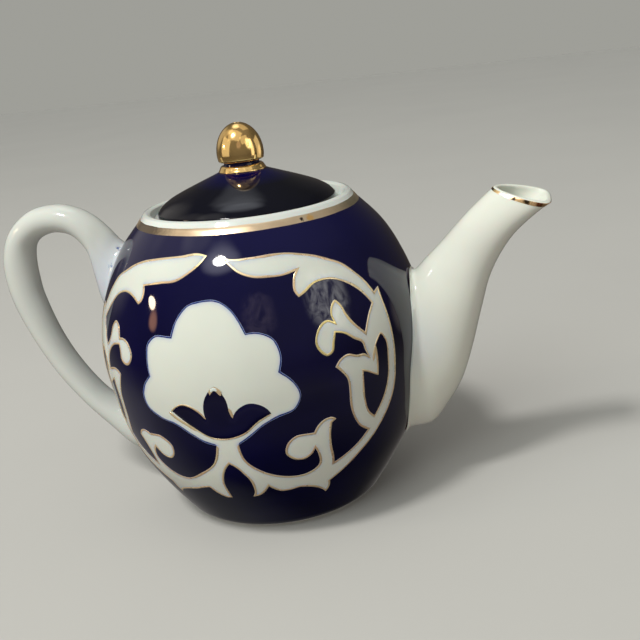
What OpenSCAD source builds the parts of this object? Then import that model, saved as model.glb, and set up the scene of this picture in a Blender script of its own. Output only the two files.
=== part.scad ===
// Porcelain teapot: round body, drop-in lid with an acorn knob, leaning spout and a loop handle.
// The origin is the centre of the foot, on the surface that the pot stands on.
// +Z is up and +X points along the spout. All sizes are in millimetres.

/* [Body] */
// Thickness of the body wall, measured level
body_wall = 3.6; // [3:0.1:4.4]
// Thickness of the body floor
floor_t = 3.6; // [3:0.1:5]
// Outer radius of the bare foot
foot_r = 34; // [31:0.5:35]
// Width of the bare foot where it stands
foot_w = 3; // [2:0.1:4]
// Height of the foot below the body
foot_h = 1.5; // [1:0.1:1.8]

/* [Strainer] */
// Radius of one strainer hole
strainer_r = 2; // [1.5:0.1:2.4]
// Distance between neighbouring strainer holes
strainer_pitch = 8; // [7:0.1:8.5]
// Height of the middle strainer hole
strainer_z = 52; // [48:1:56]
// How much wider apart the strainer holes stand across the spout than up it
strainer_spread = 1.15; // [1:0.05:1.2]

/* [Mouth] */
// Radius of the hole that the lid's flange drops into
mouth_r = 28.3; // [28:0.1:28.8]
// Height of the ledge that carries the lid
ledge_z = 108.6; // [108.3:0.1:108.8]
// Thickness that stands in for the gold on the mouth and on the spout
gilding_t = 0.35; // [0.3:0.05:0.4]

/* [Lid] */
// Gap under the seated lid
seat_gap = 0.15; // [0.1:0.05:0.3]
// Outer radius of the lid
lid_r = 31.8; // [31:0.1:33]
// Outer radius of the flange under the lid
flange_r = 27.5; // [27:0.1:27.6]
// Thickness of the flange
flange_t = 2.3; // [2:0.1:3]
// Depth of the flange below the lid
flange_h = 7.2; // [5:0.1:9]
// Radius of the steam vent through the knob and the lid
vent_r = 1.1; // [0.8:0.1:1.5]

/* [Knob] */
// Largest radius of the knob
knob_r = 8.3; // [7.8:0.1:9]
// Height of the knob's widest place above the table
knob_mid_z = 128; // [127.5:0.1:128.5]
// Height of the top of the knob above the table
knob_top_z = 138.5; // [136:0.5:142]
// Height of the dark groove between the knob and its collar
groove_h = 1; // [0.6:0.1:1.4]

/* [Spout] */
// Wall of the spout at its root
spout_wall = 2.8; // [2.2:0.1:3.2]
// Wall of the spout at its lip
lip_wall = 1.5; // [1.4:0.1:2]
// How far the near side of the lip is cut lower than the far side
lip_skew = 1; // [0:0.1:1.5]
// How far the widest place of the lip lies towards its tip, as a share of its half length
lip_blunt = 0.45; // [0:0.05:0.5]

/* [Hidden] */
$fn = 96;

cobalt = [0.03, 0.03, 0.16];
white = [0.93, 0.94, 0.92];
bisque = [0.85, 0.83, 0.78];
gold = [0.80, 0.60, 0.25];

// Outline of the body as [radius, height]: a full, high-waisted ball
BODY = [[38.3, 2.6], [45.6, 14], [52, 26], [55.8, 38], [57.8, 50], [59, 62],
        [57.9, 74], [54.1, 86], [48, 98], [39.6, 107.7]];
// Edge where the underside of the body turns up into its wall
FOOT_EDGE = [[36.6, foot_h], [37.7, foot_h + 0.3]];
body_top = BODY[len(BODY) - 1].y;
shoulder_r = BODY[len(BODY) - 1].x;
outline_step = 3;

// Top and bottom edge of each section of the spout as [x, z], then its half width
SPOUT = [[[56.1, 80.3], [50.2, 22], 15],
         [[58.6, 82.6], [59.8, 23.9], 14.4],
         [[61.5, 85.5], [66.4, 31.8], 13.4],
         [[64.8, 88.6], [71.9, 40.9], 12.4],
         [[68.4, 92.1], [76.2, 53.2], 11.3],
         [[72.4, 96.3], [80, 66.6], 10.3],
         [[76.7, 100.6], [84.4, 80.2], 9.2],
         [[81.4, 104.8], [92.4, 92.7], 8.4],
         [[86.2, 108.8], [105, 103.7], 8]];

// Outer and inner edge of each section of the handle as [x, z], then its half width
HANDLE = [[[-48.9, 96.2], [-58, 70.5], 9.5],
          [[-52.2, 100.9], [-61.2, 76], 8],
          [[-55.4, 105], [-62.4, 85.4], 7],
          [[-60, 109.5], [-63.3, 95.4], 6.5],
          [[-66.4, 113.2], [-68.2, 102.4], 6.3],
          [[-74.6, 115.1], [-75, 104.6], 6.2],
          [[-85.2, 113.4], [-81.4, 103.4], 6.2],
          [[-94.5, 106.5], [-85.6, 100.2], 6.2],
          [[-99.2, 97], [-87.2, 94.8], 6.3],
          [[-100.1, 87], [-87.5, 86.8], 6.4],
          [[-98.1, 75.3], [-86.8, 79], 6.4],
          [[-92.8, 61.3], [-83.1, 65], 6.3],
          [[-86, 48.1], [-77.4, 52.5], 6.3],
          [[-77.2, 36], [-69.5, 41], 6.6],
          [[-67.8, 25.7], [-62.7, 35.6], 7.2],
          [[-57.8, 15.8], [-58, 34], 8],
          [[-43.6, 10.5], [-54.4, 32.5], 9]];
RING = 24;
STEPS = 3;

// Outline of the lid's top as [radius, height], from the edge to the neck
LID_TOP = [[lid_r, 109.9], [lid_r - 0.5, 111.2], [29.8, 112.7], [27, 114.4], [23.5, 116],
           [19, 117.8], [13.8, 119.8], [10.4, 121.1], [8.3, 122]];
// Outline of the lid's underside, from the flange to the vent
LID_UNDER = [[24.4, 111], [19.6, 114], [13.8, 116.4], [8, 118.4], [vent_r, 119.2]];
lid_seat = ledge_z + seat_gap;
neck_r = 6.9;
knob_low_z = 125.3;
knob_drop = 9;  // half height of the oval that the knob's lower part is cut from
collar_z = [LID_TOP[len(LID_TOP) - 1].y, knob_low_z - groove_h];
// Outline of the gilded collar as [radius, share of its height]
COLLAR = [[8.3, 0], [7.8, 0.3], [7.4, 0.65], [7.4, 1]];

function mix(a, b, t) = a + (b - a) * t;

function catmull(a, b, c, d, t) =
    b + (c - a) * t / 2 + (2 * a - 5 * b + 4 * c - d) * t * t / 2 + (3 * b - a - 3 * c + d) * t * t * t / 2;

// A list's value at a whole or broken index, on a smooth curve through its entries
function along(list, u) =
    let (last = len(list) - 1, i = min(floor(u), last - 1), t = u - i)
    catmull(list[max(i - 1, 0)], list[i], list[i + 1], list[min(i + 2, last)], t);

function secant(i, k) = (BODY[k].x - BODY[i].x) / (BODY[k].y - BODY[i].y);

// Slope of the body's outline at a point of its list; the ends carry on the curve beside them
function slope(i) =
    let (last = len(BODY) - 1)
    i == 0 ? 1.5 * secant(0, 1) - 0.5 * slope(1)
    : i == last ? 1.5 * secant(last - 1, last) - 0.5 * slope(last - 1)
    : secant(i - 1, i + 1);

// Outer radius of the body at height z
function body_r(z) =
    let (i = min([for (k = [0 : len(BODY) - 2]) if (BODY[k + 1].y >= z || k == len(BODY) - 2) k]),
         a = BODY[i], b = BODY[i + 1], h = b.y - a.y, t = (z - a.y) / h)
    a.x * (1 + 2 * t) * (1 - t) * (1 - t) + b.x * t * t * (3 - 2 * t)
    + h * (slope(i) * t * (1 - t) * (1 - t) - slope(i + 1) * t * t * (1 - t));

// Heights at which the body's outline is drawn
function outline_z(low, high) =
    let (n = ceil((high - low) / outline_step)) [for (k = [0 : n]) mix(low, high, k / n)];

// Where the line through [y, z], level with X, meets the outside of the body
function on_body(y, z, side) = [side * sqrt(pow(body_r(z), 2) - y * y), y, z];

// One oval section between a top and a bottom edge, drawn in by w all round; blunt widens its bottom half
function oval(top, bottom, half_w, w, blunt = 0) =
    let (mid = (top + bottom) / 2, half = (top - bottom) / 2, k = 1 - w / norm(half))
    [for (j = [0 : RING - 1]) let (a = 360 * j / RING, t = k * (cos(a) - blunt * pow(sin(a), 2)))
        [mid.x + half.x * t, (half_w - w) * sin(a), mid.y + half.y * t]];

// Moves a section's points towards the outside of the body; amount 1 lays them on it
function seated(ring, amount, side) =
    [for (p = ring) amount <= 0 ? p : mix(p, on_body(p.y, p.z, side), amount)];

function edges(list, u) =
    [along([for (s = list) s[0]], u), along([for (s = list) s[1]], u), along([for (s = list) s[2]], u)];

// Solid through a row of rings; loop joins the last ring to the first
module loft(rings, loop = false) {
    n = len(rings[0]);
    m = len(rings);
    sides = [for (i = [0 : m - (loop ? 1 : 2)], j = [0 : n - 1])
        let (a = i * n, b = (i + 1) % m * n, k = (j + 1) % n)
        each [[a + j, a + k, b + k], [a + j, b + k, b + j]]];
    caps = loop ? [] : [[for (j = [n - 1 : -1 : 0]) j], [for (j = [0 : n - 1]) (m - 1) * n + j]];
    polyhedron([for (r = rings) each r], concat(sides, caps));
}

module body_shell() {
    outside = [for (z = outline_z(BODY[0].y, body_top)) [body_r(z), z]];
    floor_z = foot_h + floor_t;
    inside = [for (z = outline_z(floor_z + 4, body_top)) [body_r(z) - body_wall, z]];
    color(cobalt) difference() {
        rotate_extrude() polygon(concat(
            [[0, foot_h]],
            FOOT_EDGE,
            outside,
            [for (i = [len(inside) - 1 : -1 : 0]) inside[i]],
            [[inside[0].x - 2.2, floor_z + 1.2], [inside[0].x - 5.5, floor_z], [0, floor_z]]));
        for (row = [-2 : 2], col = [-1 : 0.5 : 1])
            if (abs(row) + 2 * abs(col) <= 2 && (row + 2 * col) % 2 == 0)
                translate([0, col * strainer_pitch * strainer_spread, strainer_z + row * strainer_pitch])
                    rotate([0, 90, 0]) cylinder(r = strainer_r, h = BODY[len(BODY) - 1].y);
    }
}

module foot_ring() {
    color(bisque) rotate_extrude() polygon([
        [foot_r - foot_w, 0], [foot_r - 0.6, 0], [foot_r, 0.6], [foot_r + 0.3, foot_h],
        [foot_r - foot_w - 1, foot_h], [foot_r - foot_w - 0.4, 0.4]]);
}

module mouth_collar() {
    color(white) rotate_extrude() polygon([
        [34.4, body_top], [shoulder_r - gilding_t, body_top], [38.2 - gilding_t, 109.5], [38.2, 109.5],
        [37.1, 110.9], [36.5, 111.3], [35.7, 111.45], [34.9, 111.3], [34.3, 110.8], [34.05, 109.8],
        [33.9, 109], [33.5, ledge_z], [mouth_r + 0.6, ledge_z], [mouth_r, ledge_z - 0.6],
        [mouth_r, 105.6], [mouth_r + 0.6, 105], [31, 105], [33, 106]]);
}

module mouth_gilding() {
    color(gold) rotate_extrude() polygon([
        [shoulder_r - gilding_t, body_top], [shoulder_r, body_top],
        [38.2, 109.5], [38.2 - gilding_t, 109.5]]);
}

// Section of the spout at station u, drawn in by w
function spout_ring(u, w) =
    let (s = edges(SPOUT, u), last = len(SPOUT) - 1,
         ring = oval(s[0], s[1], s[2], w, lip_blunt * pow(u / last, 8)))
    [for (p = seated(ring, pow(max(1 - u, 0), 2), 1))
        p + [0, 0, lip_skew * p.y / SPOUT[last][2] * pow(u / last, 4)]];

function spout_wall_at(u) = mix(spout_wall, lip_wall, u / (len(SPOUT) - 1));

module spout() {
    last = len(SPOUT) - 1;
    outer = [for (k = [0 : last * STEPS]) spout_ring(k / STEPS, 0)];
    lip = [for (w = [0.35, 0.75]) [for (p = spout_ring(last, lip_wall * w)) p + [0.2, 0, 0.45]]];
    inner = [for (k = [last * STEPS : -1 : 0]) spout_ring(k / STEPS, spout_wall_at(k / STEPS))];
    color(white) loft(concat(outer, lip, inner), loop = true);
}

module spout_gilding() {
    last = len(SPOUT) - 1;
    low = last - 1 / STEPS;
    color(gold) loft([spout_ring(low, 0), spout_ring(last, 0),
                      spout_ring(last, -gilding_t), spout_ring(low, -gilding_t)], loop = true);
}

// Section of the handle at station u, laid on the body at both ends and shrunk to k about its middle
function handle_ring(u, k = 1) =
    let (last = len(HANDLE) - 1, s = edges(HANDLE, u), near = min(u, last - u), mid = (s[0] + s[1]) / 2,
         ring = oval(mix(mid, s[0], k), mix(mid, s[1], k), s[2] * k, 0))
    seated(ring, pow(max(1 - near, 0), 2), -1);

module handle() {
    last = len(HANDLE) - 1;
    shrink = [0.1, 0.4, 0.7];
    color(white) loft(concat(
        [for (k = shrink) handle_ring(0, k)],
        [for (k = [0 : last * STEPS]) handle_ring(k / STEPS)],
        [for (i = [len(shrink) - 1 : -1 : 0]) handle_ring(last, shrink[i])]));
}

module lid_dome() {
    color(cobalt) rotate_extrude() polygon(concat(
        [[lid_r - 0.4, lid_seat], [lid_r, lid_seat + 0.4]],
        LID_TOP,
        [[vent_r, collar_z[0]]],
        [for (i = [len(LID_UNDER) - 1 : -1 : 0]) LID_UNDER[i]],
        [[flange_r - flange_t, lid_seat]]));
}

module lid_flange() {
    low = lid_seat - flange_h;
    inner_r = flange_r - flange_t;
    color(white) rotate_extrude() polygon([
        [inner_r, lid_seat], [flange_r, lid_seat], [flange_r, low + 0.8], [flange_r - 0.8, low],
        [inner_r + 0.6, low], [inner_r, low + 0.6]]);
}

module knob_neck() {
    color(cobalt) difference() {
        translate([0, 0, collar_z[1]]) cylinder(r = neck_r, h = groove_h);
        translate([0, 0, collar_z[1] - 1]) cylinder(r = vent_r, h = groove_h + 2);
    }
}

module knob_collar() {
    color(gold) rotate_extrude() polygon(concat(
        [[vent_r, collar_z[0]]],
        [for (p = COLLAR) [p.x, mix(collar_z[0], collar_z[1], p.y)]],
        [[vent_r, collar_z[1]]]));
}

// Half an oval above the widest place and a flatter, cut-off one below it
module knob() {
    up = knob_top_z - knob_mid_z;
    vent_z = knob_mid_z + up * sqrt(1 - pow(vent_r / knob_r, 2));
    low_angle = -asin((knob_mid_z - knob_low_z) / knob_drop);
    color(gold) rotate_extrude() polygon(concat(
        [[vent_r, vent_z], [vent_r, knob_low_z]],
        [for (k = [0 : 4]) let (a = mix(low_angle, 0, k / 4))
            [knob_r * cos(a), knob_mid_z + knob_drop * sin(a)]],
        [for (k = [1 : 14]) let (a = mix(0, acos(vent_r / knob_r) - 4, k / 14))
            [knob_r * cos(a), knob_mid_z + up * sin(a)]]));
}

body_shell();
foot_ring();
mouth_collar();
mouth_gilding();
spout();
spout_gilding();
handle();
lid_dome();
lid_flange();
knob_neck();
knob_collar();
knob();
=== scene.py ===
"""Looks of the porcelain teapot: cobalt with white reserved scrolls and gilding, drop-in lid, spout, handle.

Lengths are in millimetres until a mesh is made. The frame is the CAD's: +Z up, +X along the spout, and the
front of the pot faces -Y.
"""

import math

import bmesh
import bpy
from mathutils import Matrix, Vector, noise
from mathutils.geometry import delaunay_2d_cdt


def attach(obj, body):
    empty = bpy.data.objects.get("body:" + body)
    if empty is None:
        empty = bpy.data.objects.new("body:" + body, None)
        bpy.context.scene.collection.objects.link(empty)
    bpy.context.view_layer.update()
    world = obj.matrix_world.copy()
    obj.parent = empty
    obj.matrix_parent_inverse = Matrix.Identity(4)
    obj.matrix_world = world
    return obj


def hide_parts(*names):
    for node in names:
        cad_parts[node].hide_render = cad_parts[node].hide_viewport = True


MM = 0.001
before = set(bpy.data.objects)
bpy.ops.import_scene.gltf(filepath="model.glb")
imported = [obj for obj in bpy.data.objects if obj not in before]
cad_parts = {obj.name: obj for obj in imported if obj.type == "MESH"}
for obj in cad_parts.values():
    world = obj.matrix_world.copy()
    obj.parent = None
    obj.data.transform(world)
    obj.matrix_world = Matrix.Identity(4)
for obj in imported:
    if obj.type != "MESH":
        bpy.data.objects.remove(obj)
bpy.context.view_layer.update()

# ---------------------------------------------------------------- sizes, as in the CAD

# Outline of the body as (radius, height)
BODY = [(38.3, 2.6), (45.6, 14), (52, 26), (55.8, 38), (57.8, 50), (59, 62),
        (57.9, 74), (54.1, 86), (48, 98), (39.6, 107.7)]
BODY_WALL = 3.6
GLAZE_COAT = 1.2  # the part of the wall that is shown as cobalt
FLOOR_Z = 5.1
FOOT_H = 1.5
GLAZE_START_R = 35  # the cobalt starts here on the underside
GLAZE_EDGE = [(36.6, FOOT_H), (37.3, 1.75)]
GLAZE_SEAM = (35.6, 3.4)  # the corner behind that edge, inside the wall
COAT_LOW = 6  # the coat has its full thickness from this height up
BOWL_H = 5  # from the floor to where the wall starts to bend in towards it
BOWL_BEND = [(0.9, 2), (3, 3.9)]  # how far in and down the bend goes
BOWL_REACH = 7
STRAINER_R, STRAINER_PITCH, STRAINER_X, STRAINER_Z = 2, 8, 55, 52
STRAINER_SPREAD = 1.15  # the holes stand this much wider apart sideways
DRILL_LENGTH = 26

# Top and bottom edge of each section of the spout as (x, z), then its half width
SPOUT = [((56.1, 80.3), (50.2, 22), 15), ((58.6, 82.6), (59.8, 23.9), 14.4),
         ((61.5, 85.5), (66.4, 31.8), 13.4), ((64.8, 88.6), (71.9, 40.9), 12.4),
         ((68.4, 92.1), (76.2, 53.2), 11.3), ((72.4, 96.3), (80, 66.6), 10.3),
         ((76.7, 100.6), (84.4, 80.2), 9.2), ((81.4, 104.8), (92.4, 92.7), 8.4),
         ((86.2, 108.8), (105, 103.7), 8)]
SPOUT_WALL, LIP_WALL, LIP_SKEW = 2.8, 1.5, 1
LIP_BLUNT = 0.45  # how far the widest place of the lip lies towards its tip
FILLET = 2.2  # radius of the slip around the roots of spout and handle

# Outer and inner edge of each section of the handle as (x, z), then its half width
HANDLE = [((-48.9, 96.2), (-58, 70.5), 9.5), ((-52.2, 100.9), (-61.2, 76), 8),
          ((-55.4, 105), (-62.4, 85.4), 7), ((-60, 109.5), (-63.3, 95.4), 6.5),
          ((-66.4, 113.2), (-68.2, 102.4), 6.3), ((-74.6, 115.1), (-75, 104.6), 6.2),
          ((-85.2, 113.4), (-81.4, 103.4), 6.2), ((-94.5, 106.5), (-85.6, 100.2), 6.2),
          ((-99.2, 97), (-87.2, 94.8), 6.3), ((-100.1, 87), (-87.5, 86.8), 6.4),
          ((-98.1, 75.3), (-86.8, 79), 6.4), ((-92.8, 61.3), (-83.1, 65), 6.3),
          ((-86, 48.1), (-77.4, 52.5), 6.3), ((-77.2, 36), (-69.5, 41), 6.6),
          ((-67.8, 25.7), (-62.7, 35.6), 7.2), ((-57.8, 15.8), (-58, 34), 8),
          ((-43.6, 10.5), (-54.4, 32.5), 9)]

# ---------------------------------------------------------------- the ornament, as (azimuth, height)
# Each outline is a list of strokes. A stroke is smooth, and the next starts where it ends, with a corner.

RIGHT_OUTER = [
    [(-88, 102), (-83.5, 101), (-75, 100.8), (-65, 100.9), (-60, 100.5), (-55, 99.6), (-50, 98.4),
     (-45, 96.5), (-40, 94), (-36.4, 90.6), (-33.2, 86.7), (-31.4, 83)],
    [(-30.2, 83.6), (-28.6, 84.1)],
    [(-28.8, 80.5), (-28.5, 76), (-28.1, 68), (-28, 58), (-28.2, 51), (-29, 47.7), (-31.3, 43), (-34, 39.3),
     (-38, 34.7), (-42.7, 30.7), (-47.7, 26.7), (-52.7, 23.2), (-55.8, 21.2)],
    [(-55.5, 19.3), (-55.9, 17.4), (-57, 16)],
    [(-58.1, 17.2), (-61.3, 19.5), (-65, 20.9), (-68, 21.5), (-71.5, 21), (-75, 21), (-79.5, 24)],
    [(-81.5, 21.5), (-84, 19.8), (-86.7, 19.3)],
    [(-85.5, 21.5), (-85.3, 24.5), (-86, 28), (-87.3, 30.2), (-89, 32.7), (-91.5, 34.8)],
]
LEFT_OUTER = [
    [(-92.3, 102.3), (-96, 103), (-105, 102.4), (-115.5, 101.6), (-125, 100.3), (-130, 98.9), (-135, 96.8),
     (-140, 94.5), (-143.5, 91.2), (-147.7, 85.7), (-149.6, 83)],
    [(-150.8, 83.6), (-152.4, 84.1)],
    [(-152.2, 80.5), (-152.7, 70), (-153, 58), (-152.6, 50), (-149.7, 43), (-143, 34.7), (-138.3, 30.7),
     (-133.3, 26.7), (-128.3, 23.2), (-125.3, 21.2)],
    [(-125.6, 19), (-124.2, 16)],
    [(-122.8, 17.3), (-117.4, 19.6), (-110, 21.5), (-106.3, 22.7), (-103.4, 23.4)],
    [(-101, 20.5), (-97.7, 18.6), (-95.6, 18.8)],
    [(-95.9, 22.5), (-96, 25.3), (-95.2, 28.9), (-93.6, 32.3), (-91.5, 34.8)],
]
RIGHT_INNER = [
    [(-88, 102), (-84, 99.7), (-80.5, 97.2), (-75, 95.2), (-69, 94.6), (-63, 94.6), (-59, 95.2)],
    [(-60.1, 94.2), (-61.1, 92.1), (-61.5, 89.8), (-60.3, 87.6)],
    [(-57.9, 88.5), (-53.9, 90.5), (-50, 90.9), (-44.8, 89.9), (-40.7, 87.6), (-37, 84.3), (-34.2, 80.1)],
    [(-36.7, 77.7), (-38.9, 74.6), (-40.1, 72.4)],
    [(-43.2, 75.9), (-45.4, 79.6), (-46.7, 83.1), (-48.2, 84.6), (-50.1, 83.1), (-51.1, 80.5),
     (-50.6, 78.3)],
    [(-52, 79.2), (-53.6, 79.3), (-55.3, 78.4), (-57.2, 76), (-58.1, 73.1), (-57.2, 70.4), (-54.7, 68.4),
     (-52.9, 69.2), (-51.7, 72.4), (-50.8, 74.9)],
    [(-48.2, 74), (-44.8, 71.3), (-42, 69.2), (-41.4, 66.8), (-40.4, 64.3)],
    [(-41.7, 65.6), (-44.5, 66), (-48.2, 67.3), (-51.1, 66.2), (-52.8, 64.2)],
    [(-51.4, 62.6), (-49.2, 59.3), (-48.6, 54), (-48.5, 50), (-47.3, 45), (-45, 40.7), (-41.3, 37.7)],
    [(-45, 34.3), (-50, 31.3), (-54.7, 29.3)],
    [(-54.8, 31.3), (-55.7, 36.3), (-56, 41), (-55.4, 45.2)],
    [(-53.8, 46.2)],
    [(-54.7, 47), (-57.3, 47.3), (-60.7, 45), (-61.7, 43.2)],
    [(-63.7, 43.3), (-67.7, 43.3), (-71, 40.7), (-71.7, 37), (-69, 34.3), (-65.3, 33.8), (-62.6, 35.5),
     (-61.7, 37)],
    [(-60.8, 34.7), (-60.5, 30.3), (-64, 27.8), (-68.3, 27.2), (-73.6, 28), (-80, 30.8), (-85.5, 36.2),
     (-86.6, 42.5)],
]
LEFT_INNER = [
    [(-92.3, 102.3), (-94.5, 100.3), (-100, 97.1), (-104, 95.4), (-111, 94.6), (-119.1, 93.6)],
    [(-118.4, 91.5), (-119.1, 89), (-120.7, 87.9)],
    [(-125, 89.9), (-130, 90.7), (-135, 89.4), (-140.7, 84.7), (-144.7, 80.3)],
    [(-143, 77.3), (-141.2, 73.6), (-140, 72.4)],
    [(-138.4, 73.6), (-136.7, 76.4), (-136, 79), (-133.7, 81.3), (-131.4, 80.6), (-129.5, 76.4)],
    [(-127.7, 76.6), (-124.9, 75.9), (-122.1, 71.7), (-124.9, 67.9), (-127.2, 68), (-128.8, 69.4),
     (-129.3, 72.2), (-130, 74)],
    [(-134.7, 72.7), (-138.8, 68.5), (-139.8, 63.8)],
    [(-137.9, 64.3), (-134.6, 65), (-131.9, 64.5), (-130.5, 63.6)],
    [(-131.9, 60.6), (-134.9, 54), (-135.6, 50), (-136.6, 43.6), (-138.8, 38.3)],
    [(-136, 34.6), (-131, 31.4), (-126.6, 29.4)],
    [(-126.6, 31.5), (-126.9, 34.5), (-127.8, 37.8), (-129.5, 41)],
    [(-128.1, 42.9), (-125.3, 44), (-122.1, 43.3)],
    [(-119.8, 43.6), (-116.5, 43.6), (-112.1, 40.1), (-112.8, 36.8), (-115.1, 34.7), (-118.5, 34.9),
     (-121.6, 37.8)],
    [(-123.3, 35.4), (-123.5, 32.7), (-122.1, 30.6), (-118.4, 28), (-112.5, 26.6), (-103.6, 30.3),
     (-97.3, 34.8), (-94.3, 42.2)],
]
BOLL = [
    [(-94.3, 42.2), (-97.7, 43.2), (-102.7, 46.2), (-107.7, 49.4), (-114.1, 51.4), (-118.2, 54.4),
     (-119, 58.5), (-117.7, 62.1), (-114.3, 66)],
    [(-114.8, 71.6), (-114.3, 76.6), (-110.5, 79.5), (-107.3, 79.5), (-104.7, 79.4)],
    [(-102.7, 84.6), (-98.6, 88.7), (-94.1, 89.8), (-88.2, 89.8), (-83.5, 87), (-80.9, 83.5), (-79.1, 79.6)],
    [(-75.5, 79.5), (-70.9, 77.1), (-69.2, 72.1), (-70.2, 66.7)],
    [(-66.4, 62.5), (-64.8, 58.2), (-67, 53.2), (-72.7, 51.2), (-77.3, 49.1), (-82.3, 45.3), (-86.6, 42.5)],
]
CALYX = [
    [(-107.5, 54.3), (-105.9, 55.7), (-103.2, 56.9), (-98.2, 55), (-95.9, 52.3)],
    [(-95.9, 55.7), (-94.1, 60.7), (-91, 63.7), (-88.2, 59.8), (-87.4, 54.4), (-86.9, 52.5)],
    [(-85.5, 54.8), (-80.9, 57.3), (-75.9, 55), (-74.6, 52.9)],
    [(-79.1, 50.5), (-83.6, 46.9), (-90, 44.9), (-95, 45.3), (-100.9, 48.9), (-105.5, 52.5), (-107.5, 54.3)],
]
OVAL_GAP = [
    [(-38.5, 41.7), (-41, 44.3), (-42.7, 49.3), (-43.2, 57), (-43.2, 60.3)],
    [(-41.7, 59.6), (-38.6, 57.7), (-37, 56.8)],
    [(-36.9, 60), (-37, 66.3)],
    [(-38.5, 62.3)],
    [(-38.2, 64.3), (-36, 68.3), (-33.8, 70), (-32.3, 68), (-31.8, 60), (-31.8, 56), (-33.3, 49),
     (-36, 44.7), (-38.5, 41.7)],
]
MIRROR_AZ = -90.5
# Gold on the calyx, as (path, width)
CALYX_GOLD = [
    ([(-108.9, 53.8), (-106.5, 51.8), (-103.6, 50), (-100, 47.8)], 1.1),
    ([(-108, 54.2), (-105.9, 56), (-103.2, 57.1), (-98.2, 55.2), (-95.7, 52.1)], 0.6),
    ([(-87.5, 56), (-87.1, 54.4), (-86.8, 52.6)], 0.8),
    ([(-100.5, 48.4), (-95, 45.1), (-90, 44.7), (-83.6, 46.7), (-79.1, 50.3), (-74.8, 52.7)], 0.5),
]
# The middle petal's gilded tip, and the glint on it
CALYX_TIP = [(-92.6, 61), (-91.9, 62.2), (-91, 62.8), (-90, 62.2), (-89.2, 60.8)]
CALYX_GLINT = [(-92.2, 62.2), (-91.2, 63), (-90.2, 62.4)]
# Height of each layer of the ornament over the body
RESERVE_LIFT, CALYX_LIFT, LINE_LIFT, GAP_LIFT, TIP_LIFT = 0.05, 0.07, 0.08, 0.09, 0.28
CALYX_SWELL = 0.35
# Width of each drawn line
BLEED_WIDTH, SCROLL_LINE, GAP_LINE, TIP_WIDTH, GLINT_WIDTH = 0.55, 0.75, 0.6, 1.6, 1.1


# ---------------------------------------------------------------- curves

def mix(a, b, t):
    return a + (b - a) * t


def secant(i, k):
    """Slope of the straight line between two points of the body's outline."""
    return (BODY[k][0] - BODY[i][0]) / (BODY[k][1] - BODY[i][1])


def slope(i):
    """Slope of the body's outline at a point of its list; the ends carry on the curve beside them."""
    last = len(BODY) - 1
    if i == 0:
        return 1.5 * secant(0, 1) - 0.5 * slope(1)
    if i == last:
        return 1.5 * secant(last - 1, last) - 0.5 * slope(last - 1)
    return secant(i - 1, i + 1)


def body_r(z):
    """Outer radius of the body at height z."""
    z = min(max(z, BODY[0][1]), BODY[-1][1])
    i = max(k for k in range(len(BODY) - 1) if BODY[k][1] <= z)
    (ra, za), (rb, zb) = BODY[i], BODY[i + 1]
    h = zb - za
    t = (z - za) / h
    ends = ra * (1 + 2 * t) * (1 - t) ** 2 + rb * t * t * (3 - 2 * t)
    return ends + h * (slope(i) * t * (1 - t) ** 2 - slope(i + 1) * t * t * (1 - t))


def body_slope(z, step=0.1):
    return (body_r(z + step) - body_r(z - step)) / (2 * step)


def along(values, u):
    """A list's value at a whole or broken index, on a smooth curve through its entries."""
    last = len(values) - 1
    i = min(int(u), last - 1)
    t = u - i
    a, b, c, d = values[max(i - 1, 0)], values[i], values[i + 1], values[min(i + 2, last)]
    square, cube = 2 * a - 5 * b + 4 * c - d, 3 * b - a - 3 * c + d
    return b + (c - a) * t / 2 + square * t * t / 2 + cube * t ** 3 / 2


def through(points, step=0.7):
    """Smooth curve through uneven points, as points about a step apart."""
    p = [Vector(q) for q in points]
    gap = [max((b - a).length, 1e-6) for a, b in zip(p, p[1:])]
    if len(p) == 2:
        tangents = [(p[1] - p[0]) / gap[0]] * 2
    else:
        inner = [((p[i] - p[i - 1]) / gap[i - 1] * gap[i] + (p[i + 1] - p[i]) / gap[i] * gap[i - 1])
                 / (gap[i - 1] + gap[i]) for i in range(1, len(p) - 1)]
        first = (p[1] - p[0]) / gap[0] * 1.5 - inner[0] * 0.5
        last = (p[-1] - p[-2]) / gap[-1] * 1.5 - inner[-1] * 0.5
        tangents = [first] + inner + [last]
    out = [p[0]]
    for i, h in enumerate(gap):
        n = max(1, round(h / step))
        for k in range(1, n + 1):
            t = k / n
            out.append(p[i] * (1 + 2 * t) * (1 - t) ** 2 + p[i + 1] * t * t * (3 - 2 * t)
                       + tangents[i] * h * t * (1 - t) ** 2 - tangents[i + 1] * h * t * t * (1 - t))
    return out


def trace(strokes):
    """All the points of an outline written as strokes."""
    out = []
    for stroke in strokes:
        start = [tuple(out[-1])] if out else []
        out += through(start + stroke)[len(start):]
    return out


def mirrored(points):
    """The same outline on the other side of the cartouche's middle."""
    return [Vector((2 * MIRROR_AZ - p.x, p.y)) for p in points][::-1]


# ---------------------------------------------------------------- meshes

def placed(name, data):
    """New object in the scene for a mesh, light or camera."""
    obj = bpy.data.objects.new(name, data)
    bpy.context.scene.collection.objects.link(obj)
    return obj


def smooth(mesh, sharp):
    """Shades a mesh smooth, apart from edges sharper than an angle."""
    mesh.polygons.foreach_set("use_smooth", [True] * len(mesh.polygons))
    mesh.set_sharp_from_angle(angle=math.radians(sharp))


def piece(name, verts, faces, material, body, slot, nodes=(), sharp=35):
    """Object of the visual model, which rides a body and may replace nodes of the CAD."""
    mesh = bpy.data.meshes.new(name)
    mesh.from_pydata([(x * MM, y * MM, z * MM) for x, y, z in verts], [], faces)
    smooth(mesh, sharp)
    mesh.materials.append(material)
    obj = placed(name, mesh)
    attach(obj, body)
    if nodes:
        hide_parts(*nodes)
    return obj


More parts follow.
